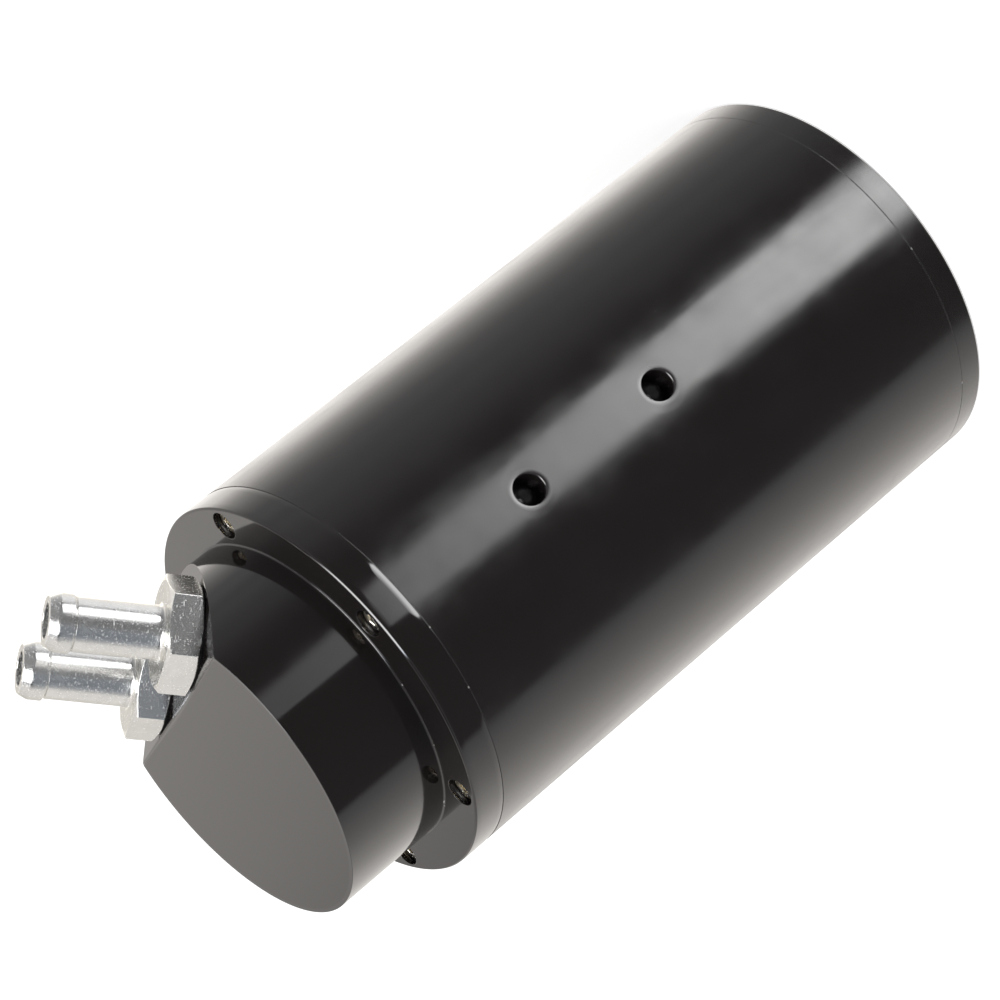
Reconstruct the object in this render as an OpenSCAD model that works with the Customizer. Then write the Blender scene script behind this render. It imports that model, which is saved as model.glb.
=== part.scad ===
// Oil catch can: a ribbed tube closed by a machined cap with a slanted fitting face and by a base plate.
// Millimetres. +Z runs up the can, the origin is the centre of the bottom face.
// The bracket holes face +X and the slanted face with its hose fittings faces +Y.

/* [Can body] */
// Outside diameter of the can
body_d = 90; // [84:0.5:110]
// Length of the tube between the base plate and the cap
tube_len = 141.5; // [120:0.5:220]
// Wall of the tube between its ribs
tube_wall = 3; // [2:0.1:4]
// Width of the ribs that take the screws
rib_w = 7.4; // [6.5:0.1:8]
// Width of the rib that takes the bracket holes
bracket_rib_w = 14; // [10:0.5:18]
// Chamfer on the rims of the flange and the base plate, half as wide at the seams
rim_chamfer = 0.3; // [0.2:0.1:0.8]
// Chamfer on the tube's upper rim, under the cap
tube_chamfer = 0.15; // [0.1:0.05:0.6]

/* [Cap] */
// Thickness of the cap's flange
flange_t = 7.8; // [7:0.1:12]
// Diameter of the drum above the flange
drum_d = 72.4; // [68:0.2:73]
// Height of the drum above the flange
drum_h = 25.7; // [22:0.1:34]
// Distance from the can's axis to the ridge between the top and the slanted face
ridge_y = 14.5; // [12:0.1:16]
// Slope of the slanted face below the top face, in degrees
slant = 44; // [40:1:48]
// Chamfer on the drum's upper rim
drum_chamfer = 0.1; // [0.1:0.05:0.5]
// Fillet at the foot of the drum
foot_fillet = 0.4; // [0.3:0.1:1.2]
// Diameter of the pocket under the cap
pocket_d = 60; // [54:0.5:62]
// Thickness of the cap's top over the pocket
roof_t = 7; // [5:0.5:9]
// Thickness of the cap under the slanted face
slant_wall = 13; // [12:0.5:15]

/* [Base plate] */
// Thickness of the base plate
base_t = 6; // [5:0.1:10]

/* [Registers and gaskets] */
// Height of the register that centres the cap and the base plate in the tube
register_h = 2.5; // [1.5:0.1:4]
// Radial clearance of the registers inside the ribs
register_gap = 0.3; // [0.1:0.05:0.6]
// Thickness of the gaskets
gasket_t = 0.8; // [0.5:0.1:1.2]
// Clearance round the gaskets in their recesses
gasket_gap = 0.2; // [0.1:0.05:0.4]
// Width of the bare metal rim outside the gaskets
rim_land = 1; // [0.8:0.1:1.4]

/* [Screws] */
// Thread diameter of the cap and base screws
screw_d = 3; // [2.5:0.1:3.2]
// Length of a screw under its head
screw_len = 10; // [8:0.5:14]
// Diameter of a screw head
head_d = 5.5; // [5:0.1:5.6]
// Height of a screw head
head_h = 3; // [2.5:0.1:3.2]
// Hexagon socket of a screw, across its flats
socket_af = 2.5; // [2:0.1:3]
// Depth of that socket
socket_depth = 1.6; // [1:0.1:1.8]
// Clearance round a screw head in its counterbore
head_gap = 0.35; // [0.2:0.05:0.35]
// Clearance round a screw's thread in the cap and the base plate
shank_gap = 0.2; // [0.1:0.05:0.3]
// Radial clearance of a thread in its tapped hole
thread_gap = 0.05; // [0.02:0.01:0.1]
// Distance from the screws' axes to the outside of the can
screw_inset = 4.2; // [4.1:0.05:4.5]
// Depth of the cap's screw heads below the flange face
cap_head_sink = 1.3; // [0.5:0.1:2.8]
// Depth of the base screws' heads below the bottom face
base_head_sink = 0.3; // [0.1:0.1:0.8]
// Spare depth of the tapped holes past the screws' ends
tap_spare = 2; // [1:0.5:4]

/* [Bracket holes] */
// Tapping diameter of the bracket holes
bracket_d = 6.8; // [5:0.1:7]
// Height of the lower bracket hole above the bottom face
bracket_z = 74; // [60:0.5:80]
// Distance between the bracket holes
bracket_pitch = 37.5; // [30:0.5:45]
// Depth of the bracket holes below the can's surface
bracket_depth = 6.3; // [5:0.1:6.5]
// Diameter of the countersink at their mouths
bracket_mouth_d = 7.4; // [7:0.1:8.5]

/* [Hose fittings] */
// Distance between the axes of the two fittings
fitting_pitch = 28.4; // [27:0.1:31]
// Distance from the ridge to the fittings' axes, down the slanted face
fitting_drop = 11.2; // [11:0.1:12.5]
// Hexagon of a fitting, across its flats
hex_af = 21; // [19:0.5:22]
// Height of the hexagon
hex_h = 6.7; // [5:0.1:9]
// Height of the chamfer at a hexagon's corners
hex_chamfer = 0.6; // [0.4:0.05:1.2]
// Diameter of the hose stem
stem_d = 11.1; // [9:0.1:14]
// Length of the stem between the hexagon and the bead
stem_len = 17.8; // [12:0.1:26]
// Fillet where the stem leaves the hexagon
stem_fillet = 0.9; // [0.4:0.1:1.5]
// Height of the bead that holds the hose, above the stem
bead_rise = 0.5; // [0.3:0.05:1]
// Length of the bead
bead_len = 2.9; // [2:0.1:5]
// Length of the tapered nose
nose_len = 2.1; // [1.5:0.1:4]
// Taper of the nose, measured on its radius
nose_taper = 0.95; // [0.5:0.05:1.5]
// Depth of the relief groove behind the bead
relief_depth = 0.25; // [0.1:0.05:0.4]
// Width of that groove
relief_w = 0.6; // [0.4:0.1:1]
// Diameter of the passage through a fitting
passage_d = 7.2; // [5:0.1:8]
// Diameter of the thread that screws into the cap
port_d = 16.6; // [14:0.1:17]
// Length of that thread
port_len = 10; // [8:0.5:10.5]
// Chamfer at the thread's end
port_chamfer = 0.8; // [0.4:0.1:1.2]
// Diameter of the drilling from a port into the pocket
drilling_d = 9; // [8:0.5:11]
// Turn of the first fitting's hexagon about its axis, in degrees
hex_turn_a = 20.6; // [0:0.1:60]
// Turn of the second fitting's hexagon
hex_turn_b = 2.5; // [0:0.1:60]

/* [Fitting seals] */
// Outside diameter of the seal under a hexagon
seal_d = 20.4; // [19.5:0.1:20.8]
// Thickness of the seal
seal_t = 0.3; // [0.2:0.1:1]
// Clearance between a seal and the thread inside it
seal_gap = 0.2; // [0.1:0.05:0.4]

/* [Hidden] */
$fn = 96;

black = [0.08, 0.08, 0.09];
rubber = [0.03, 0.03, 0.03];
steel = [0.72, 0.7, 0.66];
plating = [0.8, 0.82, 0.85];

screw_count = 6;
screw_step = 360 / screw_count;

// How far a cutting shape runs past the face that it cuts
over = 1;

body_r = body_d / 2;
bore_r = body_r - tube_wall;
screw_r = body_r - screw_inset;
rib_in_r = screw_r - rib_w / 2;
register_r = rib_in_r - register_gap;
clear_d = screw_d + 2 * shank_gap;
counterbore_d = head_d + 2 * head_gap;

tube_z = base_t;
seam_z = tube_z + tube_len;
flange_z = seam_z + flange_t;
top_z = flange_z + drum_h;
drum_r = drum_d / 2;
roof_z = top_z - roof_t;

cap_seat_z = flange_z - cap_head_sink - head_h;
base_seat_z = base_head_sink + head_h;
cap_tap = screw_len - (cap_seat_z - seam_z) + tap_spare;
base_tap = screw_len - (tube_z - base_seat_z) + tap_spare;

gasket_in_r = register_r + gasket_gap;
gasket_out_r = body_r - rim_land - gasket_gap;

hex_z = seal_t;
stem_z = hex_z + hex_h;
bead_z = stem_z + stem_len;
nose_z = bead_z + bead_len;
tip_z = nose_z + nose_len;
stem_r = stem_d / 2;
bead_r = stem_r + bead_rise;
hex_r = hex_af / 2;
hex_corner_d = hex_af / cos(30);
socket_corner_d = socket_af / cos(30);
port_bore_d = port_d + 2 * thread_gap;
port_bore_len = port_len + 1;

// Places its children at the ridge, turned so that +Z leaves the slanted face and +Y runs down it
module on_slant(x = 0, drop = 0) {
    translate([x, ridge_y, top_z])
        rotate([-slant, 0, 0])
            translate([0, drop, 0])
                children();
}

// Repeats its children at the six screws
module at_screws() {
    for (i = [0 : screw_count - 1])
        rotate([0, 0, i * screw_step])
            translate([screw_r, 0, 0])
                children();
}

// A disc with a chamfer at its lower and its upper rim
module rimmed_disc(r, h, low, high) {
    rotate_extrude()
        polygon([[0, 0], [r - low, 0], [r, low], [r, h - high], [r - high, h], [0, h]]);
}

// A ring with square edges
module ring(r_out, r_in, h) {
    difference() {
        cylinder(r = r_out, h = h);
        translate([0, 0, -over])
            cylinder(r = r_in, h = h + 2 * over);
    }
}

// Section of one screw rib: a tongue with a round nose that points at the can's axis
module rib_section(w, nose_x) {
    translate([nose_x, -w / 2])
        square([bore_r + tube_wall / 2 - nose_x, w]);
}

// Section of the extruded tube: a round wall with a screw rib every sixty degrees
module tube_section() {
    difference() {
        circle(r = body_r);
        circle(r = bore_r);
    }
    for (i = [1 : screw_count - 1])
        rotate(i * screw_step) {
            rib_section(rib_w, screw_r);
            translate([screw_r, 0])
                circle(d = rib_w);
        }
    rib_section(bracket_rib_w, rib_in_r);
}

// A tapped hole for a bracket screw, from the can's surface inwards, with its countersunk mouth
module bracket_hole() {
    mouth = (bracket_mouth_d - bracket_d) / 2;
    rotate([0, 90, 0]) {
        translate([0, 0, body_r - bracket_depth])
            cylinder(d = bracket_d, h = bracket_depth + over);
        translate([0, 0, body_r - mouth])
            cylinder(d1 = bracket_d, d2 = bracket_d + 2 * (mouth + over), h = mouth + over);
    }
}

// The extruded tube, chamfered at its rims, tapped at both ends and drilled for the bracket
module body_tube() {
    color(black)
    difference() {
        translate([0, 0, tube_z])
            intersection() {
                linear_extrude(height = tube_len)
                    tube_section();
                rimmed_disc(body_r, tube_len, rim_chamfer / 2, tube_chamfer);
            }
        at_screws() {
            translate([0, 0, seam_z - cap_tap])
                cylinder(d = screw_d + 2 * thread_gap, h = cap_tap + over);
            translate([0, 0, tube_z - over])
                cylinder(d = screw_d + 2 * thread_gap, h = base_tap + over);
        }
        for (i = [0, 1])
            translate([0, 0, bracket_z + i * bracket_pitch])
                bracket_hole();
    }
}

// Fillet round the foot of the drum
module drum_foot() {
    translate([0, 0, flange_z])
        rotate_extrude()
            difference() {
                translate([drum_r - over, 0])
                    square([over + foot_fillet, foot_fillet]);
                translate([drum_r + foot_fillet, foot_fillet])
                    circle(r = foot_fillet);
            }
}

// Hollow under the cap: a round pocket whose roof is flat, then slopes with the slanted face
module cap_pocket() {
    floor_z = seam_z - register_h - over;
    intersection() {
        translate([0, 0, floor_z])
            cylinder(d = pocket_d, h = roof_z - floor_z);
        on_slant()
            translate([-body_d, -2 * body_d, -slant_wall - 2 * body_d])
                cube([2 * body_d, 4 * body_d, 2 * body_d]);
    }
}

// A tapped port from the slanted face and the drilling that joins it to the pocket
module port() {
    translate([0, 0, -port_bore_len])
        cylinder(d = port_bore_d, h = port_bore_len + over);
    translate([0, 0, -slant_wall - over])
        cylinder(d = drilling_d, h = slant_wall);
}

// The drum of the cap, cut off by the slanted face, which stops short of the flange
module slanted_drum() {
    difference() {
        union() {
            translate([0, 0, flange_z - over])
                rimmed_disc(drum_r, drum_h + over, 0, drum_chamfer);
            drum_foot();
        }
        on_slant()
            translate([-body_d, -body_d, 0])
                cube([2 * body_d, 3 * body_d, body_d]);
    }
}

// The cap, machined from one piece: flange, drum, slanted face, pocket and register
module top_cap() {
    color(black)
    difference() {
        union() {
            translate([0, 0, seam_z])
                rimmed_disc(body_r, flange_t, rim_chamfer / 2, rim_chamfer);
            slanted_drum();
            translate([0, 0, seam_z - register_h])
                rimmed_disc(register_r, register_h + gasket_t + over, rim_chamfer, 0);
        }
        cap_pocket();
        for (side = [-1, 1])
            on_slant(side * fitting_pitch / 2, fitting_drop)
                port();
        translate([0, 0, seam_z - over])
            ring(body_r - rim_land, register_r, gasket_t + over);
        at_screws() {
            translate([0, 0, seam_z - over])
                cylinder(d = clear_d, h = flange_t + 2 * over);
            translate([0, 0, cap_seat_z])
                cylinder(d = counterbore_d, h = flange_z - cap_seat_z + over);
        }
    }
}

// The base plate with its raised register and the counterbores of its screws
module base_plate() {
    color(black)
    difference() {
        union() {
            rimmed_disc(body_r, base_t, rim_chamfer, rim_chamfer / 2);
            translate([0, 0, base_t - gasket_t - over])
                rimmed_disc(register_r, register_h + gasket_t + over, 0, rim_chamfer);
        }
        translate([0, 0, base_t - gasket_t])
            ring(body_r - rim_land, register_r, gasket_t + over);
        at_screws() {
            translate([0, 0, -over])
                cylinder(d = clear_d, h = base_t + 2 * over);
            translate([0, 0, -over])
                cylinder(d = counterbore_d, h = base_seat_z + over);
        }
    }
}

// A flat gasket with a hole for each screw
module gasket() {
    color(rubber)
    difference() {
        ring(gasket_out_r, gasket_in_r, gasket_t);
        at_screws()
            translate([0, 0, -over])
                cylinder(d = clear_d, h = gasket_t + 2 * over);
    }
}

// A socket-head screw with its seat at the origin, its head up and its thread down
module socket_screw() {
    head_chamfer = head_h / 12;
    end_chamfer = screw_d / 8;
    color(steel)
    difference() {
        union() {
            rimmed_disc(head_d / 2, head_h, 0, head_chamfer);
            translate([0, 0, -screw_len])
                rimmed_disc(screw_d / 2, screw_len + head_h / 2, end_chamfer, 0);
        }
        translate([0, 0, head_h - socket_depth])
            cylinder(d = socket_corner_d, h = socket_depth + over, $fn = 6);
    }
}

module cap_screw(i) {
    rotate([0, 0, i * screw_step])
        translate([screw_r, 0, cap_seat_z])
            socket_screw();
}

module base_screw(i) {
    rotate([0, 0, i * screw_step])
        translate([screw_r, 0, base_seat_z])
            rotate([180, 0, 0])
                socket_screw();
}

// Turned outline of a hexagon bar: both ends chamfered down to the flats
module hex_turning() {
    corner_r = hex_corner_d / 2;
    run = corner_r - hex_r;
    rotate_extrude()
        polygon([[0, 0], [hex_r, 0], [corner_r + run, 2 * hex_chamfer],
            [corner_r + run, hex_h - 2 * hex_chamfer], [hex_r, hex_h], [0, hex_h]]);
}

// Fillet between the hexagon's face and the stem
module stem_foot() {
    rotate_extrude()
        difference() {
            translate([stem_r - over, 0])
                square([over + stem_fillet, stem_fillet]);
            translate([stem_r + stem_fillet, stem_fillet])
                circle(r = stem_fillet);
        }
}

// A hose fitting in its own frame: thread below the origin, hexagon, stem, bead and nose above it
module hose_fitting(turn) {
    color(plating)
    difference() {
        union() {
            translate([0, 0, -port_len])
                rimmed_disc(port_d / 2, port_len + hex_z + over, port_chamfer, 0);
            translate([0, 0, hex_z])
                intersection() {
                    rotate([0, 0, turn])
                        cylinder(d = hex_corner_d, h = hex_h, $fn = 6);
                    hex_turning();
                }
            translate([0, 0, stem_z])
                stem_foot();
            translate([0, 0, stem_z - over])
                cylinder(r = stem_r, h = stem_len + bead_len + over);
            translate([0, 0, bead_z])
                cylinder(r = bead_r, h = bead_len);
            translate([0, 0, nose_z])
                cylinder(r1 = bead_r, r2 = bead_r - nose_taper, h = nose_len);
        }
        translate([0, 0, bead_z - relief_w])
            ring(stem_r + over, stem_r - relief_depth, relief_w);
        translate([0, 0, -port_len - over])
            cylinder(d = passage_d, h = port_len + tip_z + 2 * over);
    }
}

// The flat seal between a hexagon and the slanted face
module fitting_seal() {
    color(rubber)
        ring(seal_d / 2, port_d / 2 + seal_gap, seal_t);
}

body_tube();
top_cap();
base_plate();
translate([0, 0, seam_z]) gasket();  // cap_gasket
translate([0, 0, base_t - gasket_t]) gasket();  // base_gasket
cap_screw(0);  // cap_screw_1
cap_screw(1);  // cap_screw_2
cap_screw(2);  // cap_screw_3
cap_screw(3);  // cap_screw_4
cap_screw(4);  // cap_screw_5
cap_screw(5);  // cap_screw_6
base_screw(0);  // base_screw_1
base_screw(1);  // base_screw_2
base_screw(2);  // base_screw_3
base_screw(3);  // base_screw_4
base_screw(4);  // base_screw_5
base_screw(5);  // base_screw_6
on_slant(fitting_pitch / 2, fitting_drop) hose_fitting(hex_turn_a);  // inlet_fitting
on_slant(-fitting_pitch / 2, fitting_drop) hose_fitting(hex_turn_b);  // outlet_fitting
on_slant(fitting_pitch / 2, fitting_drop) fitting_seal();  // inlet_seal
on_slant(-fitting_pitch / 2, fitting_drop) fitting_seal();  // outlet_seal
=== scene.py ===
"""Oil catch can: the looks of its anodised, plated and rubber parts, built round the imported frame.

Sizes are in millimetres, as in the part's source, and become metres where a mesh is made.
The can stands on the floor; the camera keeps the photograph's view, in which the can seems to lie down.
"""

import math

import bmesh
import bpy
import numpy as np
from mathutils import Matrix, Vector


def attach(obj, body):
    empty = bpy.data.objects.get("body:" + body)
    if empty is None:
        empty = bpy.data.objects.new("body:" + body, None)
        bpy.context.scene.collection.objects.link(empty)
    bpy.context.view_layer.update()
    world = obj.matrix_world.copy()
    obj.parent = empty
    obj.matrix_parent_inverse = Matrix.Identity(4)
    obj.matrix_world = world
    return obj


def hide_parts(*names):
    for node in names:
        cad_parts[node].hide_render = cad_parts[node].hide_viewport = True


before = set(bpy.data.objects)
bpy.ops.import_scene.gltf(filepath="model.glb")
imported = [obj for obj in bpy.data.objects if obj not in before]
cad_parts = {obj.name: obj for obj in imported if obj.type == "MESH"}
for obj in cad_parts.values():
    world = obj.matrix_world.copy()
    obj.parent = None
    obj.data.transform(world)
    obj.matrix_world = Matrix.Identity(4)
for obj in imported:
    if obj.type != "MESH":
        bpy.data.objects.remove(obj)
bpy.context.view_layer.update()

MM = 0.001

# Can body
BODY_R = 45.0
TUBE_Z = 6.0
SEAM_Z = 147.5
BORE_R = 42.0
RIM_CHAMFER = 0.36
SEAM_CHAMFER = 0.08
FLANGE_SEAM_CHAMFER = 0.06
TUBE_CHAMFER = 0.06
RIM_LAND_R = 43.9
# Plain wall at each end of the tube, before the grid that holds the bracket holes
END_WALL = 3.0

# Screw ribs inside the tube
RIB_R = 40.8
RIB_NOSE_R = 3.7
BRACKET_RIB_X = 37.1
BRACKET_RIB_HALF = 7.0

# Cap
FLANGE_Z = 155.3
TOP_Z = 181.0
DRUM_R = 36.2
RIDGE_Y = 14.5
SLANT = math.radians(44)
DRUM_CHAMFER = 0.06
FOOT_FILLET = 0.4
FACE_IN_R = 37.12
FACE_OUT_R = 44.3
# How far the flange's side falls back towards its rim and its seam, over what height and in how many rows
RIM_FALL = 0.06
SEAM_FALL = 0.1
FALL_HEIGHT = 1.5
FALL_ROWS = 11
# Least distances that keep neighbouring corners of the slanted cut apart, at its ridge, its rim and its wall
RIDGE_STEP = 0.04
RIM_STEP = 0.03
WALL_STEP = 0.02

# Screws and their counterbores
SCREW_R = 40.8
HEAD_R = 2.75
HEAD_H = 3.0
SHANK_R = 1.5
SHANK_LEN = 10.0
SOCKET_AF = 2.5
SOCKET_DEPTH = 1.6
COUNTERBORE_R = 3.1
CLEARANCE_R = 1.7
CAP_SEAT_Z = 151.0
BASE_SEAT_Z = 3.3
# How far a clearance hole stops short of the face behind it
HOLE_STOP = 0.1
# Degrees that a counterbore's cell takes up on each side of its screw, and its rows across the face
SCREW_CELL = 6
FACE_ROWS = 12
# How far each screw's socket is turned, in degrees, as hand-tightened screws stop anywhere
SOCKET_TURNS = (17, 42, 5, 28, 51, 36)

# Bracket holes
BRACKET_Z = (74.0, 111.5)
BRACKET_R = 3.4
BRACKET_CONE_X = 44.7
BRACKET_END_X = 38.7
THREAD_PITCH = 1.25
THREAD_DEPTH = 0.35
# Plain lengths of the bore before its threaded rows and after them, and how the thread fades in and out
THREAD_LEAD = 0.3
THREAD_REST = 0.2
THREAD_START = 1.2
FADE_IN = 0.9
FADE_OUT = 0.6
# Width of the polished lip round a mouth
LIP = 2.4
# A hole's cell in the wall: half its height, its rows, and its columns on each side of the hole
CELL_HALF = 7.0
CELL_ROWS = 14
CELL_COLUMNS = 9

# Hose fittings, along their own axis from the slanted face
FITTING_X = 14.2
FITTING_DROP = 11.2
HEX_TURN = {"inlet": math.radians(20.6), "outlet": math.radians(2.5)}
HEX_R = 10.5
HEX_CHAMFER = 0.6
SEAL_R = 10.2
SEAL_IN_R = 8.5
SEAL_T = 0.3
# Clearance between a seal and the faces that it lies between
SEAL_CLEAR = 0.01
STEM_Z = 7.0
STEM_R = 5.55
BEAD_Z = 24.8
BEAD_R = 6.05
NOSE_Z = 27.7
TIP_Z = 29.8
TIP_R = 5.1
PASSAGE_R = 3.6
PORT_R = 8.3
PORT_LEN = 10.0
PORT_CHAMFER = 0.8
GROOVE_DEPTH = 0.5


# Shapes

# One column of points to each degree round the can
AZIMUTH = np.radians(np.arange(360))
# Points nearer than this, in metres, are one point, and edges shorter than the second are none
MERGE = 2e-6
SHORTEST = 1e-7


def turned(azimuth, radius, height):
    """A corner carried round the Z axis, r and h fixed or by azimuth: x = r cos a, y = r sin a, z = h."""
    radius = np.broadcast_to(radius, azimuth.shape)
    height = np.broadcast_to(height, azimuth.shape)
    return np.stack([radius * np.cos(azimuth), radius * np.sin(azimuth), height], -1)


def rows_of(*corners):
    """The corners of an outline, each a radius and a height, carried round the Z axis as rows of points."""
    return np.stack([turned(AZIMUTH, radius, height) for radius, height in corners])


def rounded(corners, cuts, steps=4, hold=0.05):
    """Rows of points along the path through the corners, with each inner corner C rounded.

    The corner is left out between A and B, a cut's length before and behind it on its two sides, and the
    parabola (1-t)^2 A + 2t(1-t) C + t^2 B takes its place. A short straight step outside A and B keeps
    the sides flat in the shading. A cut of 0 keeps the corner as it is.
    """
    rows, worn = [corners[0]], [0.0]
    t = np.linspace(0, 1, steps + 1)[:, None, None]
    for before, corner, after, cut in zip(corners, corners[1:], corners[2:], cuts):
        if cut == 0:
            rows.append(corner)
            worn.append(0.0)
            continue
        back, ahead = before - corner, after - corner
        back_len = np.linalg.norm(back, axis=-1, keepdims=True) + 1e-9
        ahead_len = np.linalg.norm(ahead, axis=-1, keepdims=True) + 1e-9
        a = corner + back / back_len * np.minimum(cut, 0.4 * back_len)
        b = corner + ahead / ahead_len * np.minimum(cut, 0.4 * ahead_len)
        a_hold = corner + back / back_len * np.minimum(cut + hold, 0.46 * back_len)
        b_hold = corner + ahead / ahead_len * np.minimum(cut + hold, 0.46 * ahead_len)
        arc = (1 - t) ** 2 * a + 2 * t * (1 - t) * corner + t**2 * b
        rows += [a_hold, *arc, b_hold]
        worn += [0.0] + [1.0] * len(arc) + [0.0]
    rows.append(corners[-1])
    worn.append(0.0)
    return np.stack(rows), np.array(worn)


def woven(rows, cols):
    """Corner numbers of the squares of a grid with that many rows and columns, closed round its columns."""
    r = np.arange(rows - 1)[:, None]
    c = np.arange(cols)[None, :]
    d = (c + 1) % cols
    return np.stack([r * cols + c, r * cols + d, (r + 1) * cols + d, (r + 1) * cols + c], -1)


def patch(points, worn=None, keep=None):
    """A closed grid of points as vertices, squares and wear, without the squares that keep leaves out."""
    rows, cols = points.shape[:2]
    faces = woven(rows, cols)
    faces = faces.reshape(-1, 4) if keep is None else faces[keep]
    worn = np.zeros(rows) if worn is None else worn
    return points.reshape(-1, 3), faces, np.repeat(worn, cols)


def block_rim(points, rows, cols):
    """Points on the rim of a block of a grid, once round, between those rows and columns."""
    block = points[rows[0] : rows[1] + 1][:, cols]
    return np.concatenate([block[0, :-1], block[:-1, -1], block[-1, :0:-1], block[:0:-1, 0]])


def piece(name, patches, slot_name, material, *nodes, place=Matrix.Identity(4)):
    """One smooth closed mesh from its patches, which stands for those nodes.

    Its seams are merged, its faces are turned outwards, and its place is in its mesh.
    """
    vertices = np.concatenate([p[0] for p in patches]) * MM
    starts = np.cumsum([0] + [len(p[0]) for p in patches])
    faces = np.concatenate([p[1] + s for p, s in zip(patches, starts)])
    mesh = bpy.data.meshes.new(name)
    mesh.from_pydata(vertices.tolist(), [], faces.tolist())
    wear = mesh.attributes.new("wear", "FLOAT", "POINT")
    wear.data.foreach_set("value", np.concatenate([p[2] for p in patches]).astype(np.float32))
    bm = bmesh.new()
    bm.from_mesh(mesh)
    bmesh.ops.remove_doubles(bm, verts=bm.verts, dist=MERGE)
    bmesh.ops.dissolve_degenerate(bm, edges=bm.edges, dist=SHORTEST)
    bmesh.ops.transform(bm, matrix=place, verts=bm.verts)
    bmesh.ops.recalc_face_normals(bm, faces=bm.faces)
    for face in bm.faces:
        face.smooth = True
    bm.to_mesh(mesh)
    bm.free()
    made = bpy.data.objects.new(name, mesh)
    bpy.context.scene.collection.objects.link(made)
    mesh.materials.append(material)
    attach(made, "root")
    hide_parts(*nodes)
    return made


def bored_face(inner, outer, face_z, seat_z, end_z):
    """A flat ring between two rows of points, with a counterbore and a clearance hole at each screw.

    The ring is a straight mix of its two rows. Each screw's cell is left out of it, and its rim is joined
    to the counterbore's circle, whose points lie in the same directions from the screw's axis.
    """
    mix = np.linspace(0, 1, FACE_ROWS + 1)[:, None, None]
    ring = (1 - mix) * inner + mix * outer
    cells = [np.arange(60 * k - SCREW_CELL, 60 * k + SCREW_CELL + 1) % len(AZIMUTH) for k in range(6)]
    keep = np.ones((FACE_ROWS, len(AZIMUTH)), bool)
    for cell in cells:
        keep[:, cell[:-1]] = False
    patches = [patch(ring, keep=keep)]
    steps = [(COUNTERBORE_R, face_z), (COUNTERBORE_R, seat_z), (CLEARANCE_R, seat_z), (CLEARANCE_R, end_z)]
    for k, cell in enumerate(cells):
        rim = block_rim(ring, (0, FACE_ROWS), cell)
        axis = turned(np.array(math.radians(60 * k)), SCREW_R, 0.0)
        away = (rim - axis) * (1, 1, 0)
        away /= np.linalg.norm(away, axis=-1, keepdims=True)
        path = np.stack([rim] + [axis + away * radius + (0, 0, z) for radius, z in steps])
        patches.append(patch(*rounded(path, (0.13, 0.15, 0.08))))
    return patches


# Materials


def put(tree, socket, value):
    """Gives a socket its fixed value, or joins it to the socket that makes the value."""
    if isinstance(value, bpy.types.NodeSocket):
        tree.links.new(value, socket)
    else:
        socket.default_value = value


def joined(tree, kind, inputs=None, **settings):
    """A node with its settings and inputs, an input being a fixed value or a socket to join."""
    made = tree.nodes.new(kind)
    for key, value in settings.items():
        setattr(made, key, value)
    for key, value in (inputs or {}).items():
        put(tree, made.inputs[key], value)
    return made


def blended_colour(tree, factor, a, b):
    """Colour a, going over to colour b as the factor rises to 1."""
    inputs = {"Factor": factor, "A": a, "B": b}
    return joined(tree, "ShaderNodeMix", inputs, data_type="RGBA").outputs["Result"]


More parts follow.
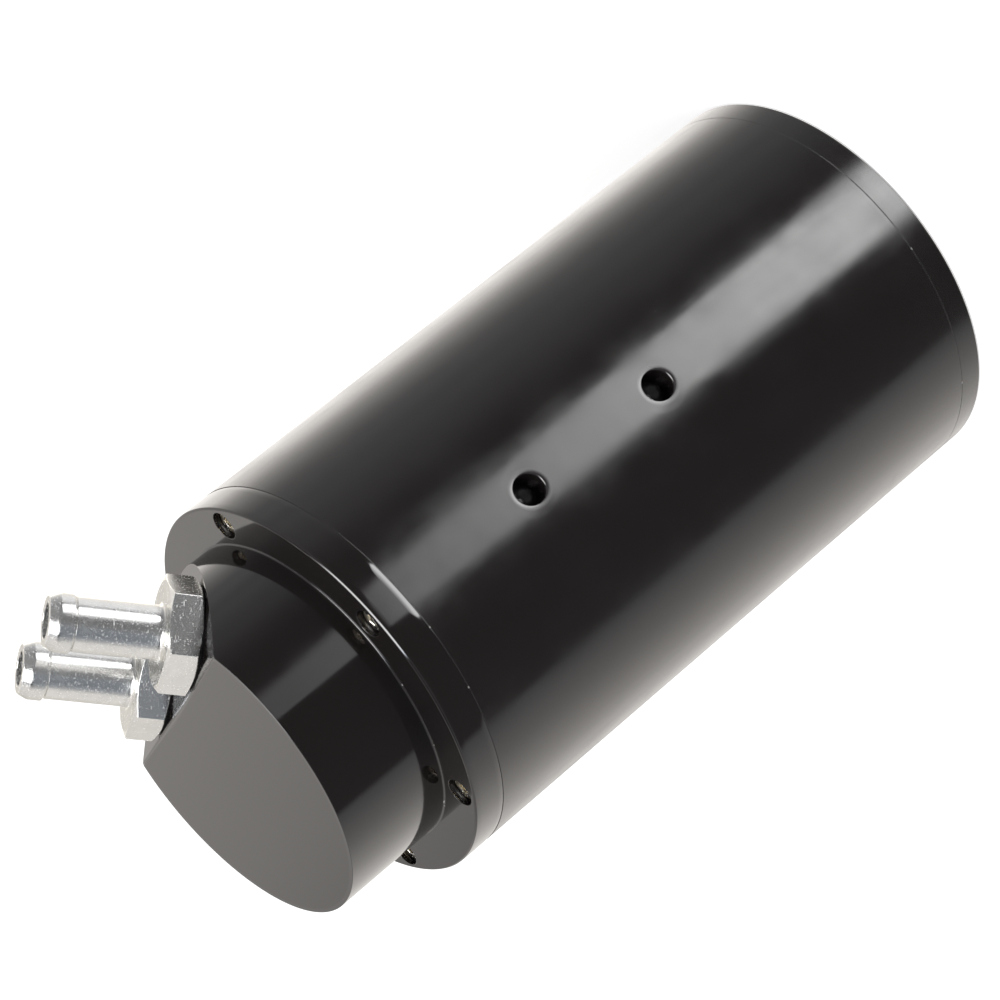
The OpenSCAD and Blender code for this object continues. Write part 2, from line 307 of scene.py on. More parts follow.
class Finish:
    """One material's node tree round its shader, with the steps that its finish is worked out by."""

    def __init__(self, name):
        self.material = bpy.data.materials.new(name)
        self.material.use_nodes = True
        self.tree = self.material.node_tree
        self.shader = self.tree.nodes["Principled BSDF"]
        self.place = self.add("ShaderNodeTexCoord").outputs["Object"]

    def add(self, kind, inputs=None, **settings):
        """A node of the material's own tree."""
        return joined(self.tree, kind, inputs, **settings)

    def give(self, **values):
        """The shader's inputs by name, with low lines for spaces, each a fixed value or a socket to join."""
        for key, value in values.items():
            put(self.tree, self.shader.inputs[key.replace("_", " ")], value)

    def noise(self, scale, detail=3.0, stretch=(1, 1, 1), where=None):
        """Noise with scale cells to the metre, drawn out along an axis by a stretch of less than 1."""
        squeezed = self.add("ShaderNodeMapping", {"Vector": where or self.place, "Scale": stretch})
        inputs = {"Vector": squeezed.outputs["Vector"], "Scale": scale, "Detail": detail, "Roughness": 0.55}
        return self.add("ShaderNodeTexNoise", inputs).outputs["Fac"]

    def ranged(self, value, low, high, to_low, to_high):
        """The value, moved from one range to another and held inside it."""
        inputs = {"Value": value, "From Min": low, "From Max": high, "To Min": to_low, "To Max": to_high}
        return self.add("ShaderNodeMapRange", inputs).outputs["Result"]

    def sum(self, a, b, share=1.0):
        """a plus share times b."""
        return self.add("ShaderNodeMath", {0: b, 1: share, 2: a}, operation="MULTIPLY_ADD").outputs["Value"]

    def times(self, a, b):
        """a times b."""
        return self.add("ShaderNodeMath", {0: a, 1: b}, operation="MULTIPLY").outputs["Value"]

    def dots(self, scale, share, core, edge, where=None):
        """1 in the middle of a random share of cells, fading out from core to edge in cell widths."""
        inputs = {"Vector": where or self.place, "Scale": scale}
        cells = self.add("ShaderNodeTexVoronoi", inputs, voronoi_dimensions="3D")
        draw = self.add("ShaderNodeSeparateXYZ", {0: cells.outputs["Color"]}).outputs["X"]
        chosen = self.ranged(draw, 0.99 - share, 1 - share, 0, 1)
        return self.times(chosen, self.ranged(cells.outputs["Distance"], core, edge, 1, 0))

    def tint(self, factor, first, second):
        """The first colour, going over to the second as the factor rises to 1."""
        return blended_colour(self.tree, factor, (*first, 1), (*second, 1))

    def over(self, shade, colour, factor):
        """A shade covered with a colour where the factor is 1."""
        return blended_colour(self.tree, factor, shade, (*colour, 1))

    def bump(self, height, depth):
        """A normal bent by a height that stands for that many metres."""
        return self.add("ShaderNodeBump", {"Height": height, "Distance": depth}).outputs["Normal"]

    def wear(self):
        """How much a point lies on a rim, as its piece's wear attribute says."""
        return self.add("ShaderNodeAttribute", attribute_name="wear").outputs["Fac"]


# The anodising's colour, its colour on worn rims, the dust on it and the metal under it
DEEP_BLACK = (0.0095, 0.0078, 0.0076)
THIN_BLACK = (0.022, 0.020, 0.020)
DUST = (0.16, 0.155, 0.15)
BARE_METAL = (0.30, 0.30, 0.29)


def black_anodising(name, low_rough, high_rough, waves):
    """Black anodised aluminium over a wall with waves of that many metres.

    It is a deep glossy black with cloudy patches and faint wiping marks in the gloss, a few specks of
    dust, and rims on which the colour has thinned, in places down to the metal.
    """
    made = Finish(name)
    turning = made.noise(1500, 2, stretch=(0.01, 0.01, 1))
    cloud = made.noise(70, 5)
    wiped = made.noise(220, 4, stretch=(1, 1, 0.12))
    mixed = made.sum(made.sum(made.ranged(cloud, 0, 1, 0, 0.6), wiped, 0.4), turning, 0.04)
    rough = made.ranged(mixed, 0.40, 0.64, low_rough, high_rough)
    dust = made.dots(160, 0.13, 0.010, 0.018)
    rim = made.ranged(made.wear(), 0.5, 1.0, 0.0, 1.0)
    bare = made.times(rim, made.ranged(made.noise(420, 3), 0.69, 0.73, 0, 1))
    shade = made.tint(rim, DEEP_BLACK, THIN_BLACK)
    shade = made.over(shade, DUST, dust)
    shade = made.over(shade, BARE_METAL, bare)
    made.give(Metallic=0.0, IOR=1.7, Base_Color=shade)
    made.give(Roughness=made.sum(rough, made.sum(dust, bare), 0.4))
    made.give(Normal=made.bump(made.noise(60, 2), waves))
    return made.material


def plating(name, place, turn):
    """Bright plating over turned steel, on the fitting's own place and turn.

    It has a soft gloss in cloudy patches, faint tool lines round the fitting's axis, and fine scratches
    and small nicks that show white because they shine less like metal.
    """
    made = Finish(name)
    inputs = {"Vector": made.place, "Location": place, "Rotation": turn}
    own = made.add("ShaderNodeMapping", inputs, vector_type="TEXTURE").outputs["Vector"]
    lines = made.noise(1600, 3, stretch=(0.02, 0.02, 1), where=own)
    cloud = made.noise(260, 4, where=own)
    nicks = made.dots(1400, 0.44, 0.10, 0.20, where=own)
    scratches = made.ranged(made.noise(3400, 0, stretch=(1, 0.09, 1), where=own), 0.75, 0.80, 0.0, 1.0)
    rough = made.sum(made.ranged(cloud, 0.3, 0.7, 0.22, 0.29), scratches, 0.3)
    shade = made.tint(made.ranged(cloud, 0.35, 0.65, 0, 1), (0.86, 0.86, 0.855), (0.81, 0.81, 0.805))
    made.give(Base_Color=shade, Specular_Tint=(0.93, 0.92, 0.88, 1))
    made.give(Metallic=made.ranged(made.sum(nicks, scratches, 0.4), 0, 1, 1, 0))
    made.give(Roughness=made.sum(rough, nicks, 0.3), Normal=made.bump(lines, 0.000001))
    return made.material


def bright_steel():
    """Zinc plated screws with a warm cast in places."""
    made = Finish("screw_zinc")
    cloud = made.noise(700, 3)
    shade = made.tint(made.ranged(cloud, 0.4, 0.6, 0, 1), (0.74, 0.73, 0.71), (0.66, 0.58, 0.42))
    made.give(Metallic=1.0, Base_Color=shade, Roughness=made.ranged(cloud, 0.3, 0.7, 0.2, 0.36))
    made.give(Normal=made.bump(made.noise(4000, 2), 0.00001))
    return made.material


def matt_rubber():
    """Matt black rubber with a fine moulded grain."""
    made = Finish("matt_rubber")
    grain = made.noise(2500, 3)
    cloud = made.ranged(made.noise(300, 3), 0.35, 0.65, 0, 1)
    made.give(Metallic=0.0, IOR=1.5, Base_Color=made.tint(cloud, (0.012, 0.012, 0.012), (0.02, 0.02, 0.02)))
    made.give(Roughness=made.ranged(grain, 0.3, 0.7, 0.55, 0.75), Normal=made.bump(grain, 0.00003))
    return made.material


tube_black = black_anodising("tube_black", 0.12, 0.23, 0.00004)
cap_black = black_anodising("cap_black", 0.05, 0.10, 0.000004)
plate_black = black_anodising("plate_black", 0.14, 0.24, 0.00002)
screw_zinc = bright_steel()
rubber = matt_rubber()


# The tube


def rib_wall(azimuth):
    """Radius of the tube's inside by azimuth: the bore, or nearer the axis where a ray meets a rib.

    A ray at angle d from a rib meets its round nose at R cos d - sqrt(n^2 - R^2 sin^2 d), and meets the
    flat front of the bracket rib at x / cos d.
    """
    near = 0.3
    radius = np.full(azimuth.shape, BORE_R)
    for k in range(1, 6):
        off = (azimuth - math.radians(60 * k) + math.pi) % (2 * math.pi) - math.pi
        reach = RIB_NOSE_R**2 - (RIB_R * np.sin(off)) ** 2
        nose = RIB_R * np.cos(off) - np.sqrt(np.maximum(reach, 0))
        radius = np.where((reach > 0) & (abs(off) < near), np.minimum(radius, nose), radius)
    off = (azimuth + math.pi) % (2 * math.pi) - math.pi
    front = abs(np.tan(off)) * BRACKET_RIB_X < BRACKET_RIB_HALF
    return np.where(front & (abs(off) < near), np.minimum(radius, BRACKET_RIB_X / np.cos(off)), radius)


def bracket_hole(rim, centre_z):
    """A countersunk threaded hole in the tube's wall, from the rim of its cell to its flat bottom.

    On the wall a point at width y lies at x = sqrt(R^2 - y^2). Layers between the cell's rim and the
    mouth are mixes of the two, set back on the wall. The mouth is where the cone's radius, r + x - x0,
    meets the wall. Inside, the thread's radius is r plus a triangle wave of depth along x that climbs one
    pitch each turn.
    """
    across = np.arctan2(rim[:, 1], rim[:, 0]) * BODY_R
    up = rim[:, 2] - centre_z
    turn = np.arctan2(up, across)

    def circle(x, radius):
        """Points at a radius from the hole's axis, in the directions of the cell's rim."""
        return np.stack(np.broadcast_arrays(x, radius * np.cos(turn), centre_z + radius * np.sin(turn)), -1)

    mouth = np.full(turn.shape, BRACKET_R + BODY_R - BRACKET_CONE_X)
    for _ in range(4):
        mouth = BRACKET_R + np.sqrt(BODY_R**2 - (mouth * np.cos(turn)) ** 2) - BRACKET_CONE_X
    layers = []
    for mix in (0, 0.25, 0.5, 0.75, 0.9, 1):
        y = (1 - mix) * across + mix * (mouth + LIP) * np.cos(turn)
        z = (1 - mix) * up + mix * (mouth + LIP) * np.sin(turn)
        layers.append(np.stack([BODY_R * np.cos(y / BODY_R), BODY_R * np.sin(y / BODY_R), centre_z + z], -1))
    edge = circle(np.sqrt(BODY_R**2 - (mouth * np.cos(turn)) ** 2), mouth)
    first, last = BRACKET_CONE_X - THREAD_LEAD, BRACKET_END_X + THREAD_REST
    path = np.stack([layers[-1], edge, circle(BRACKET_CONE_X, BRACKET_R), circle(first, BRACKET_R)])
    lip, worn = rounded(path, (0.95, 0.3), steps=10)
    x = np.linspace(first, last, 52)[:, None]
    wave = (x / THREAD_PITCH + turn / (2 * math.pi)) % 1
    fade = np.clip((BRACKET_CONE_X - THREAD_START - x) / FADE_IN, 0, 1) * np.clip((x - last) / FADE_OUT, 0, 1)
    thread = circle(x, BRACKET_R + THREAD_DEPTH * fade * (1 - abs(2 * wave - 1)))
    end = np.stack([circle(last, BRACKET_R), circle(BRACKET_END_X, BRACKET_R), circle(BRACKET_END_X, 0.0)])
    return [patch(np.stack(layers)), patch(lip, worn), patch(thread), patch(end)]


def body_tube():
    """The tube as one section carried round the axis: ribbed bore, chamfered ends and outer wall.

    The squares of the wall's grid are left out for the two bracket holes' cells.
    """
    inside = rib_wall(AZIMUTH)
    grid_foot, grid_top = TUBE_Z + END_WALL, SEAM_Z - END_WALL
    lower = rows_of(
        (inside, TUBE_Z),
        (BODY_R - SEAM_CHAMFER, TUBE_Z),
        (BODY_R, TUBE_Z + SEAM_CHAMFER),
        (BODY_R, grid_foot),
    )
    upper = rows_of(
        (BODY_R, grid_top),
        (BODY_R, SEAM_Z - TUBE_CHAMFER),
        (BODY_R - TUBE_CHAMFER, SEAM_Z),
        (inside, SEAM_Z),
    )
    cell = np.linspace(-CELL_HALF, CELL_HALF, CELL_ROWS + 1)
    levels = [grid_foot, *(z + up for z in BRACKET_Z for up in cell), grid_top]
    wall = rows_of(*((BODY_R, z) for z in levels))
    bore = rows_of((inside, TUBE_Z), (inside, SEAM_Z))
    cols = np.arange(-CELL_COLUMNS, CELL_COLUMNS + 1) % len(AZIMUTH)
    keep = np.ones((len(levels) - 1, len(AZIMUTH)), bool)
    holes = []
    for i, z in enumerate(BRACKET_Z):
        first = 1 + len(cell) * i
        last = first + CELL_ROWS
        keep[first:last, cols[:-1]] = False
        holes += bracket_hole(block_rim(wall, (first, last), cols), z)
    ends = [patch(*rounded(end, (0.08, 0.08))) for end in (lower, upper)]
    return [ends[0], patch(wall, keep=keep), ends[1], patch(bore), *holes]


# The cap and the base plate


def top_cap():
    """The cap as its turned outline cut by the slanted plane, azimuth by azimuth.

    Along an azimuth a the plane is the line z = top - (r sin a - ridge) tan s. Each corner of the cut
    outline is where two neighbouring lines of the outline meet, held between the corners of the uncut
    one.
    """
    slope = math.tan(SLANT)
    rise = np.maximum(np.sin(AZIMUTH), 1e-6)

    def slanted(radius):
        """Height of the slanted plane at a radius, azimuth by azimuth."""
        return TOP_Z - (radius * np.sin(AZIMUTH) - RIDGE_Y) * slope

    top_edge = DRUM_R - DRUM_CHAMFER
    cut = RIDGE_Y / rise < top_edge
    ridge = np.minimum(RIDGE_Y / rise, top_edge - RIDGE_STEP)
    meet = (top_edge - RIDGE_Y * slope) / (1 - slope * rise)
    meet = np.where((meet < 0) | (meet > DRUM_R), DRUM_R, meet)
    rim = np.where(cut, np.clip(meet, top_edge, DRUM_R - RIM_STEP), top_edge)
    rim_z = np.minimum(np.minimum(TOP_Z, TOP_Z - (rim - top_edge)), slanted(rim))
    drum = rows_of(
        (0.0, TOP_Z),
        (ridge, TOP_Z),
        (rim, rim_z),
        (DRUM_R, np.minimum(TOP_Z - DRUM_CHAMFER, slanted(DRUM_R) - WALL_STEP)),
        (DRUM_R, FLANGE_Z),
        (FACE_IN_R, FLANGE_Z),
    )
    drum, drum_worn = rounded(drum, (0.8, 0.05, 0.05, FOOT_FILLET))
    # The flange's side falls back by the square of the way to its rim and to its seam, as polished edges do
    way = np.linspace(0, 1, FALL_ROWS)
    rim_foot = FLANGE_Z - RIM_CHAMFER
    seam_top = SEAM_Z + FLANGE_SEAM_CHAMFER
    flange = rows_of(
        (FACE_OUT_R, FLANGE_Z),
        (BODY_R - RIM_CHAMFER, FLANGE_Z),
        *((BODY_R - RIM_FALL * t**2, rim_foot - FALL_HEIGHT * (1 - t)) for t in way[::-1]),
        *((BODY_R - SEAM_FALL * t**2, seam_top + FALL_HEIGHT * (1 - t)) for t in way),
        (BODY_R - SEAM_FALL - FLANGE_SEAM_CHAMFER, SEAM_Z),
        (RIM_LAND_R, SEAM_Z),
        (0.0, SEAM_Z),
    )
    uncut = [0] * (2 * FALL_ROWS - 2)
    flange, flange_worn = rounded(flange, (0.12, 0.08, *uncut, 0.05, 0.06, 0))
    face = bored_face(drum[-1], flange[0], FLANGE_Z, CAP_SEAT_Z, SEAM_Z + HOLE_STOP)
    return [patch(drum, drum_worn), *face, patch(flange, flange_worn)]


def base_plate():
    """The base plate as a turned outline, with the six counterbores in its underside."""
    middle = rows_of((0.0, 0.0), (FACE_IN_R, 0.0))
    side = rows_of(
        (FACE_OUT_R, 0.0),
        (BODY_R - RIM_CHAMFER, 0.0),
        (BODY_R, RIM_CHAMFER),
        (BODY_R, TUBE_Z - SEAM_CHAMFER),
        (BODY_R - SEAM_CHAMFER, TUBE_Z),
        (RIM_LAND_R, TUBE_Z),
        (0.0, TUBE_Z),
    )
    face = bored_face(middle[-1], side[0], 0.0, BASE_SEAT_Z, TUBE_Z - HOLE_STOP)
    side, worn = rounded(side, (0.08, 0.08, 0.08, 0.08, 0))
    return [patch(middle), *face, patch(side, worn)]


# Screws, fittings and seals


def six_sided(turn, inner_r, sharpness):
    """Radius of a hexagon by angle, its corners slightly rounded.

    It is r / (sum of cos^p of the angles to its six sides)^(1/p), with the sharpness as p.
    """
    off = turn[:, None] - np.radians(60 * np.arange(6))[None, :]
    return inner_r / (np.maximum(np.cos(off), 0) ** sharpness).sum(1) ** (1 / sharpness)


def hex_columns():
    """Angles round a hexagonal bar, close together at its corners so that its sides stay flat."""
    half = np.array([0, 6, 12, 18, 23, 26.5, 28.2, 29.0, 29.5, 29.8])
    sector = np.concatenate([half, [30], 60 - half[:0:-1]])
    return np.radians(np.concatenate([sector + 60 * k for k in range(6)]))


def socket_screw():
    """A socket head screw about the Z axis, its seat at z = 0: a turned outline with a six-sided socket."""
    turn = hex_columns()
    socket = six_sided(turn, SOCKET_AF / 2, 90)
    floor = HEAD_H - SOCKET_DEPTH
    corners = [
        (0.0, floor - 0.4),
        (1.05, floor),
        (socket, floor + 0.02),
        (socket, HEAD_H - 0.12),
        (socket + 0.12, HEAD_H),
        (HEAD_R - 0.3, HEAD_H),
        (HEAD_R, HEAD_H - 0.28),
        (HEAD_R, 0.0),
        (SHANK_R, 0.0),
        (SHANK_R, 0.4 - SHANK_LEN),
        (SHANK_R - 0.4, -SHANK_LEN),
        (0.0, -SHANK_LEN),
    ]
    path = np.stack([turned(turn, r, z) for r, z in corners])
    cuts = (0.05, 0.05, 0.04, 0.05, 0.08, 0.08, 0.05, 0.05, 0.05, 0.05)
    return patch(*rounded(path, cuts, steps=3, hold=0.02))


def hose_fitting(name):
    """A fitting about the Z axis: a turned outline from its thread up to its tip and back down its passage.

    Between its two chamfer cones the outline's radius is the hexagon's, turned by the fitting's own
    angle, and each cone falls by the chamfer's height over the step from the flats to the corners.
    """
    turn = hex_columns()
    bar = six_sided(turn, HEX_R, 320)
    drop = (bar - HEX_R) * HEX_CHAMFER / (HEX_R / math.cos(math.pi / 6) - HEX_R) + 0.03
    flat = HEX_R - 0.06
    corners = [
        (PASSAGE_R, -PORT_LEN),
        (PORT_R - PORT_CHAMFER, -PORT_LEN),
        (PORT_R, PORT_CHAMFER - PORT_LEN),
        (PORT_R, SEAL_T),
        (flat, SEAL_T),
        (bar, SEAL_T + drop),
        (bar, STEM_Z - drop),
        (flat, STEM_Z),
        (STEM_R, STEM_Z),
        (STEM_R, BEAD_Z - 0.5),
        (STEM_R - GROOVE_DEPTH, BEAD_Z - 0.4),
        (STEM_R - GROOVE_DEPTH, BEAD_Z),
        (BEAD_R, BEAD_Z),
        (BEAD_R, NOSE_Z),
        (TIP_R, TIP_Z),
        (PASSAGE_R, TIP_Z),
        (PASSAGE_R, TIP_Z - 3),
        (PASSAGE_R, -PORT_LEN),
    ]
    path = np.stack([turned(turn, r, z) for r, z in corners])
    cuts = (0.1, 0.1, 0.1, 0.1, 0.12, 0.12, 0.1, 0.9, 0.06, 0.05, 0.08, 0.22, 0.35, 0.3, 0.22, 0)
    points, worn = rounded(path, cuts)
    angle = HEX_TURN[name] + math.pi / 6
    x, y = points[..., 0].copy(), points[..., 1].copy()
    points[..., 0] = math.cos(angle) * x - math.sin(angle) * y
    points[..., 1] = math.sin(angle) * x + math.cos(angle) * y
    return patch(points, worn)


def fitting_seal():
    """A flat ring seal about the Z axis with rounded edges."""
    turn = np.radians(np.arange(0, 360, 4))
    low, middle, high = SEAL_CLEAR, SEAL_T / 2, SEAL_T - SEAL_CLEAR
    inside = [(SEAL_IN_R, high), (SEAL_IN_R, middle)]
    corners = [(SEAL_IN_R, middle), (SEAL_IN_R, low), (SEAL_R, low), (SEAL_R, high), *inside]
    path = np.stack([turned(turn, r, z) for r, z in corners])
    return patch(*rounded(path, (0.1, 0.18, 0.18, 0.1)))


def on_slant(x):
    """The place of a fitting: at x, down the slanted face from the ridge, its +Z leaving the face."""
    ridge = Matrix.Translation(Vector((x, RIDGE_Y, TOP_Z)) * MM)
    return ridge @ Matrix.Rotation(-SLANT, 4, "X") @ Matrix.Translation(Vector((0, FITTING_DROP, 0)) * MM)


# The pieces

piece("tube_shell", body_tube(), "black_anodised", tube_black, "body_tube")
piece("cap_shell", top_cap(), "black_anodised", cap_black, "top_cap")
piece("base_shell", base_plate(), "black_anodised", plate_black, "base_plate")

for k, socket_turn in enumerate(SOCKET_TURNS):
    around = Matrix.Rotation(math.radians(60 * k), 4, "Z")
    up = around @ Matrix.Translation(Vector((SCREW_R, 0, CAP_SEAT_Z)) * MM)
    down = around @ Matrix.Translation(Vector((SCREW_R, 0, BASE_SEAT_Z)) * MM)
    down = down @ Matrix.Rotation(math.pi, 4, "X")
    turn = Matrix.Rotation(math.radians(socket_turn), 4, "Z")
    for node, seat in ((f"cap_screw_{k + 1}", up), (f"base_screw_{k + 1}", down)):
        piece(f"{node}_turned", [socket_screw()], "screw_steel", screw_zinc, node, place=seat @ turn)

for name, x in (("inlet", FITTING_X), ("outlet", -FITTING_X)):
    place = on_slant(x)
    finish = plating(f"{name}_plating", tuple(place.translation), (-SLANT, 0, 0))
    node = f"{name}_fitting"
    piece(f"{node}_turned", [hose_fitting(name)], "plated_steel", finish, node, place=place)
    node = f"{name}_seal"
    piece(f"{node}_ring", [fitting_seal()], "black_rubber", rubber, node, place=place)

for node in ("cap_gasket", "base_gasket"):
    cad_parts[node].data.materials.clear()
    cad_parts[node].data.materials.append(rubber)


# Floor, light and camera

# How bright the surroundings look in the gloss, by azimuth in degrees, below the horizon and above it
LOWER = (
    (-180, 1.1), (-160, 1.55), (-140, 1.72), (-118, 1.5), (-104, 1.18), (-90, 0.92), (-80, 0.66),
    (-76, 0.12), (-20, 0.09), (28, 0.09), (40, 0.12), (50, 0.21), (60, 0.37), (66, 0.40), (78, 0.54),
    (84, 0.50), (92, 0.64), (98, 0.62), (106, 0.90), (120, 1.55), (134, 2.6), (150, 2.35), (165, 1.65),
    (180, 1.1),
)
UPPER = (
    (-180, 0.66), (-172, 0.85), (-158, 0.9), (-142, 1.0), (-123, 0.95), (-100, 1.0), (-90, 0.62),
    (-77, 0.45), (-60, 0.26), (-37, 0.33), (-21, 0.25), (0, 0.2), (20, 0.24), (42, 0.34), (72, 0.36),
    (84, 0.42), (93, 0.52), (102, 0.8), (112, 1.1), (136, 1.1), (145, 0.92), (160, 0.92), (166, 1.3),
    (171, 1.42), (174, 1.15), (176, 1.0), (178, 0.78), (180, 0.66),
)
HORIZON = -14.0
# The dark side's azimuths, and how much of its light goes above the overhead edge
DARK_SIDES = (-95.0, 105.0)
OVERHEAD_EDGE = 40.0
OVERHEAD_LOSS = 0.85
# How bright the gloss sees it all, and how bright soft light does
GLOSS_LEVEL = 0.8
SOFT_LEVEL = 0.44
# The cast of the pale side, and that of the dark side's cool part, with its azimuths and its lower edge
WARM = (1.04, 1.0, 0.957, 1)
COOL = (0.90, 0.985, 1.09, 1)
COOL_SIDES = (-80.0, -20.0)
COOL_EDGE = 12.0
# The pale table under it all, which the azimuths past its near side see
TABLE = 1.15
TABLE_SIDE = 50.0
TABLE_TOP = -42.0
# The strip light by elevation: its brightness, the azimuths of its two sides, and how soft they are
STRIP = (
    (-90, 0.0), (-50, 3.0), (-42, 7.5), (-36, 9.5), (-33, 8.2), (-30, 5.2), (-26, 2.35), (-24.5, 1.2),
    (-23, 0.85), (-21, 0.6), (-18, 0.0), (90, 0.0),
)
STRIP_FAR_SIDE = ((-90, 31), (-34, 30), (-28.5, 25.5), (-25.5, 20), (-21, 12), (90, 9))
STRIP_NEAR_SIDE = ((-90, -9), (-34, -9), (-30, -6.5), (-25, -3.5), (90, -3.5))
STRIP_NEAR_SOFTNESS = 0.8
STRIP_FAR_SOFTNESS = ((-90, 0.8), (-27, 0.8), (-24, 4.5), (90, 4.5))
# The ceiling light: its brightness, the elevation where it starts and the azimuths of its two sides
CEILING = 11.0
CEILING_EDGE = 48.0
CEILING_SIDES = (-24.0, 65.0)


def worked(tree, operation, a, b=0.0):
    """The two values put through one operation."""
    return joined(tree, "ShaderNodeMath", {0: a, 1: b}, operation=operation).outputs["Value"]


def curve_of(tree, value, points):
    """The value run through a curve drawn straight between the points, from the first to the last."""
    low, high = points[0][0], points[-1][0]
    least = min(level for _, level in points)
    top = max(level for _, level in points)
    scaled = joined(tree, "ShaderNodeMapRange", {"Value": value, "From Min": low, "From Max": high})
    curve = joined(tree, "ShaderNodeFloatCurve", {"Value": scaled.outputs["Result"]})
    line = curve.mapping.curves[0]
    while len(line.points) < len(points):
        line.points.new(0.5, 0.5)
    for point, (at, level) in zip(line.points, points):
        point.location = ((at - low) / (high - low), (level - least) / (top - least))
        point.handle_type = "VECTOR"
    curve.mapping.update()
    return worked(tree, "ADD", worked(tree, "MULTIPLY", curve.outputs["Value"], top - least), least)


def past(tree, value, side, softness):
    """1 where the value is well past the side, 0 well before it, and a smooth step between."""
    ahead = worked(tree, "DIVIDE", worked(tree, "SUBTRACT", value, side), softness)
    step = {"Value": ahead, "From Min": -1.0, "From Max": 1.0}
    return joined(tree, "ShaderNodeMapRange", step, interpolation_type="SMOOTHSTEP").outputs["Result"]


def between(tree, value, low, high, softness):
    """1 where the value is between the two sides, with the same smooth step at each."""
    return worked(tree, "SUBTRACT", past(tree, value, low, softness), past(tree, value, high, softness))


def blended(tree, factor, a, b):
    """a, going over to b as the factor rises to 1."""
    return joined(tree, "ShaderNodeMix", {"Factor": factor, "A": a, "B": b}).outputs["Result"]


def surroundings():
    """The world: white to the camera, a plain pale level for soft light, and a studio's sides in gloss.

    The studio is worked out from the azimuth and elevation of a direction. It has a level by azimuth
    below the horizon and one above it, a pale table, and on top of them the strip light and the ceiling
    light.
    """
    world = bpy.data.worlds.new("studio")
    bpy.context.scene.world = world
    world.use_nodes = True
    world.cycles.sampling_method = "NONE"
    tree = world.node_tree
    tree.nodes.clear()
    rays = joined(tree, "ShaderNodeLightPath").outputs
    glossy, to_camera = rays["Is Glossy Ray"], rays["Is Camera Ray"]
    direction = joined(tree, "ShaderNodeTexCoord").outputs["Generated"]
    x, y, z = joined(tree, "ShaderNodeSeparateXYZ", {0: direction}).outputs
    azimuth = worked(tree, "DEGREES", worked(tree, "ARCTAN2", y, x))
    elevation = worked(tree, "DEGREES", worked(tree, "ARCSINE", z))

    dark = between(tree, azimuth, *DARK_SIDES, 12)
    overhead = worked(tree, "MULTIPLY", past(tree, elevation, OVERHEAD_EDGE, 7), dark)
    loss = worked(tree, "SUBTRACT", 1.0, worked(tree, "MULTIPLY", overhead, OVERHEAD_LOSS))
    upper = worked(tree, "MULTIPLY", curve_of(tree, azimuth, UPPER), loss)
    around = blended(tree, past(tree, elevation, HORIZON, 6), curve_of(tree, azimuth, LOWER), upper)
    table = worked(tree, "SUBTRACT", past(tree, azimuth, TABLE_SIDE, 8), past(tree, elevation, TABLE_TOP, 4))
    around = blended(tree, worked(tree, "MAXIMUM", table, 0.0), around, TABLE)

    near_step = past(tree, azimuth, curve_of(tree, elevation, STRIP_NEAR_SIDE), STRIP_NEAR_SOFTNESS)
    far_softness = curve_of(tree, elevation, STRIP_FAR_SOFTNESS)
    far_step = past(tree, azimuth, curve_of(tree, elevation, STRIP_FAR_SIDE), far_softness)
    inside = worked(tree, "MAXIMUM", worked(tree, "SUBTRACT", near_step, far_step), 0.0)
    strip = worked(tree, "MULTIPLY", curve_of(tree, elevation, STRIP), inside)
    lit = worked(tree, "ADD", around, strip)
    above = past(tree, elevation, CEILING_EDGE, 2)
    ceiling = worked(tree, "MULTIPLY", between(tree, azimuth, *CEILING_SIDES, 3), above)
    gloss = worked(tree, "MULTIPLY", blended(tree, ceiling, lit, CEILING), GLOSS_LEVEL)
    level = blended(tree, glossy, blended(tree, to_camera, SOFT_LEVEL, 1.0), gloss)

    white = (1, 1, 1, 1)
    cool = between(tree, azimuth, *COOL_SIDES, 8)
    cool = worked(tree, "MULTIPLY", cool, past(tree, elevation, COOL_EDGE, 8))
    cast = blended_colour(tree, cool, blended_colour(tree, dark, WARM, white), COOL)
    cast = blended_colour(tree, glossy, white, cast)
    background = joined(tree, "ShaderNodeBackground", {"Color": cast, "Strength": level})
    joined(tree, "ShaderNodeOutputWorld", {"Surface": background.outputs["Background"]})


# The floor: half its width, how far it lies below the can, its paint, and its own white to the camera
FLOOR_HALF = 4.0
FLOOR_DROP = 0.0002
FLOOR_PAINT = (0.85, 0.85, 0.85, 1)
FLOOR_OWN_WHITE = 0.45


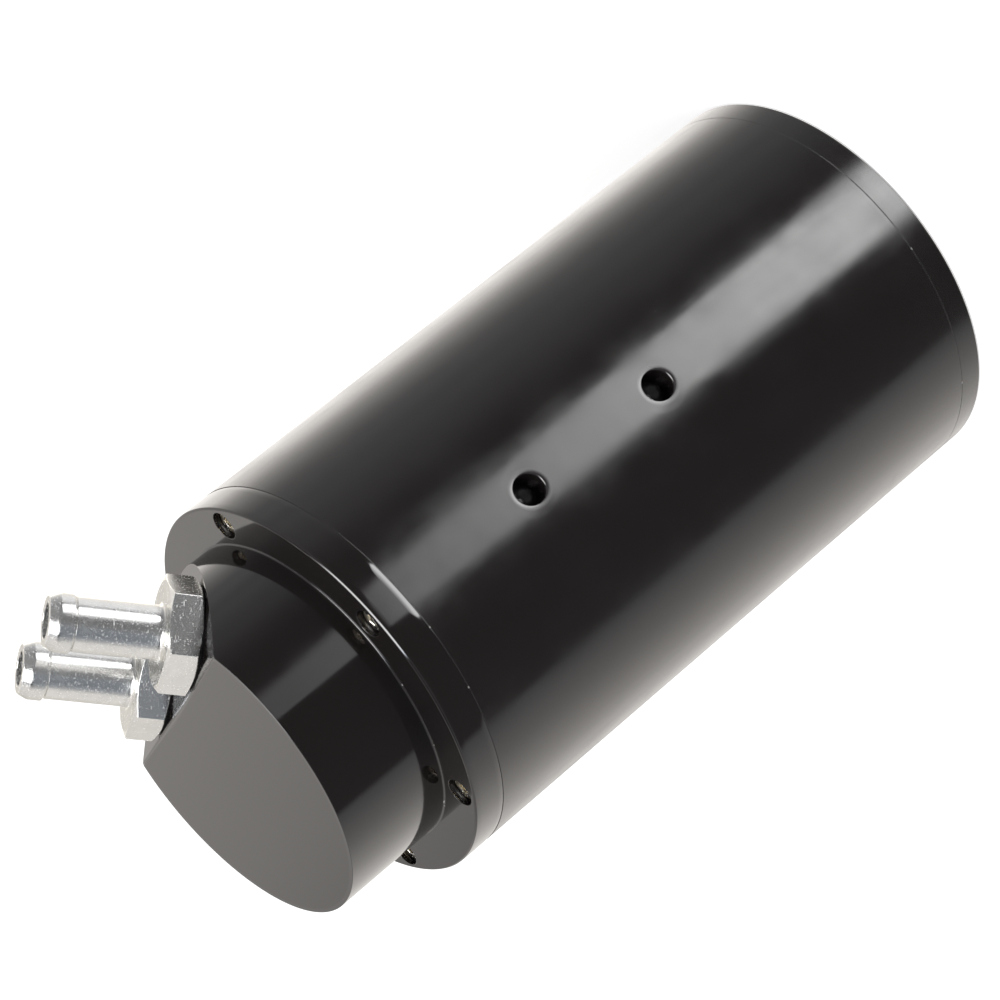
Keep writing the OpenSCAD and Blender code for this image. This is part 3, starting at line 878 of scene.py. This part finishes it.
def white_floor():
    """A wide white floor, partly white of its own to the camera, so that only a soft shadow darkens it.

    Gloss looks through it to the studio's sides.
    """
    mesh = bpy.data.meshes.new("floor")
    corners = [(x * FLOOR_HALF, y * FLOOR_HALF, -FLOOR_DROP) for x, y in ((-1, -1), (1, -1), (1, 1), (-1, 1))]
    mesh.from_pydata(corners, [], [(0, 1, 2, 3)])
    floor = bpy.data.objects.new("floor", mesh)
    bpy.context.scene.collection.objects.link(floor)
    material = bpy.data.materials.new("white_floor")
    material.use_nodes = True
    material.cycles.emission_sampling = "NONE"
    tree = material.node_tree
    tree.nodes.clear()
    rays = joined(tree, "ShaderNodeLightPath")
    own_white = worked(tree, "MULTIPLY", rays.outputs["Is Camera Ray"], FLOOR_OWN_WHITE)
    own = joined(tree, "ShaderNodeEmission", {"Color": (1, 1, 1, 1), "Strength": own_white})
    painted = joined(tree, "ShaderNodeBsdfDiffuse", {"Color": FLOOR_PAINT})
    both = joined(tree, "ShaderNodeAddShader", {0: painted.outputs["BSDF"], 1: own.outputs["Emission"]})
    clear = joined(tree, "ShaderNodeBsdfTransparent")
    sides = {0: rays.outputs["Is Glossy Ray"], 1: both.outputs["Shader"], 2: clear.outputs["BSDF"]}
    mix = joined(tree, "ShaderNodeMixShader", sides)
    joined(tree, "ShaderNodeOutputMaterial", {"Surface": mix.outputs["Shader"]})
    mesh.materials.append(material)


def soft_light(name, place, aim, side, watts):
    """A square soft light that shines on the can and the floor but isn't itself seen in the gloss."""
    lamp = bpy.data.lights.new(name, "AREA")
    lamp.size = side
    lamp.energy = watts
    made = bpy.data.objects.new(name, lamp)
    made.location = place
    made.rotation_euler = (Vector(aim) - Vector(place)).to_track_quat("-Z", "Y").to_euler()
    made.visible_glossy = False
    bpy.context.scene.collection.objects.link(made)


# The camera solved from the photograph: its place, its right, up and backward directions, and its lens
CAMERA_PLACE = (0.75887, -0.07418, 0.48328)
CAMERA_RIGHT = (0.28339, -0.66346, -0.69247)
CAMERA_UP = (0.36633, 0.74220, -0.56119)
CAMERA_BACK = (0.88628, -0.09464, 0.45338)
CAMERA_LENS = 147.39


def photo_camera():
    """The camera that gives the photograph's view."""
    camera = bpy.data.cameras.new("photo_view")
    camera.lens = CAMERA_LENS
    camera.sensor_width = 36.0
    camera.clip_end = 50
    made = bpy.data.objects.new("photo_view", camera)
    turn = Matrix((CAMERA_RIGHT, CAMERA_UP, CAMERA_BACK)).transposed().to_4x4()
    made.matrix_world = Matrix.Translation(CAMERA_PLACE) @ turn
    bpy.context.scene.collection.objects.link(made)
    bpy.context.scene.camera = made


surroundings()
white_floor()
middle_of_can = (0, 0, 0.1)
soft_light("key", (0.5, -0.5, 1.3), middle_of_can, side=0.8, watts=14)
soft_light("fill", (0.3, 0.9, 0.9), middle_of_can, side=0.8, watts=7)
photo_camera()
bpy.context.scene.view_settings.view_transform = "Standard"
